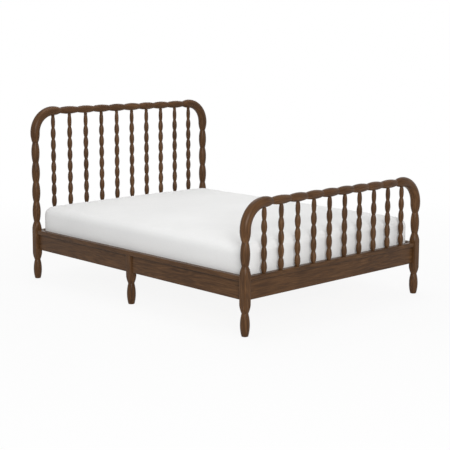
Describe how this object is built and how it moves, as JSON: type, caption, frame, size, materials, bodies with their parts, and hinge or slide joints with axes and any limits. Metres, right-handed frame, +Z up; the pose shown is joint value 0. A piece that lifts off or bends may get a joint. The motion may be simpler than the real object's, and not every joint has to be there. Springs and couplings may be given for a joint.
{
  "type": "spindle bed",
  "caption": "Queen spindle bed: beaded posts, bent corners and beaded top rails over turned spindles at head and foot, capped side rails with middle legs, slats and a mattress.",
  "frame": {"origin": "on the floor, under the middle of the bed", "axes": "+X to the right as seen from the foot, +Y towards the head, +Z up"},
  "size_m": [1.641, 2.165, 1.2135],
  "materials": {
    "dark_wood": "satin walnut-coloured stain",
    "plain_softwood": "bare planed softwood",
    "steel_fittings": "zinc plated",
    "glides": "moulded",
    "mattress_cover": "plain woven cotton"
  },
  "bodies": {
    "frame": {"beam_hangers": "steel_fittings", "centre_beam": "plain_softwood", "centre_leg": "plain_softwood", "foot_corner_left": "dark_wood", "foot_corner_right": "dark_wood", "foot_glides": "glides", "foot_post_left": "dark_wood", "foot_post_right": "dark_wood", "foot_rail": "dark_wood", "foot_rail_cap": "dark_wood", "foot_spindle_01": "dark_wood", "foot_spindle_02": "dark_wood", "foot_spindle_03": "dark_wood", "foot_spindle_04": "dark_wood", "foot_spindle_05": "dark_wood", "foot_spindle_06": "dark_wood", "foot_spindle_07": "dark_wood", "foot_spindle_08": "dark_wood", "foot_spindle_09": "dark_wood", "foot_spindle_10": "dark_wood", "foot_top_rail": "dark_wood", "head_corner_left": "dark_wood", "head_corner_right": "dark_wood", "head_post_left": "dark_wood", "head_post_right": "dark_wood", "head_rail": "dark_wood", "head_rail_cap": "dark_wood", "head_spindle_01": "dark_wood", "head_spindle_02": "dark_wood", "head_spindle_03": "dark_wood", "head_spindle_04": "dark_wood", "head_spindle_05": "dark_wood", "head_spindle_06": "dark_wood", "head_spindle_07": "dark_wood", "head_spindle_08": "dark_wood", "head_spindle_09": "dark_wood", "head_spindle_10": "dark_wood", "head_top_rail": "dark_wood", "mid_leg_bolts": "steel_fittings", "mid_leg_left": "dark_wood", "mid_leg_right": "dark_wood", "post_slot_plates": "steel_fittings", "rail_hook_plates": "steel_fittings", "side_rail_cap_left": "dark_wood", "side_rail_cap_right": "dark_wood", "side_rail_left": "dark_wood", "side_rail_right": "dark_wood", "slat_01": "plain_softwood", "slat_02": "plain_softwood", "slat_03": "plain_softwood", "slat_04": "plain_softwood", "slat_05": "plain_softwood", "slat_06": "plain_softwood", "slat_07": "plain_softwood", "slat_08": "plain_softwood", "slat_09": "plain_softwood", "slat_10": "plain_softwood", "slat_ledge_left": "plain_softwood", "slat_ledge_right": "plain_softwood"},
    "mattress": {"mattress": "mattress_cover"}
  },
  "joints": [
    {"name": "mattress_lift", "type": "slide", "parent": "frame", "child": "mattress", "axis": [0, 0, 1], "range_m": [0, 0.15]}
  ]
}
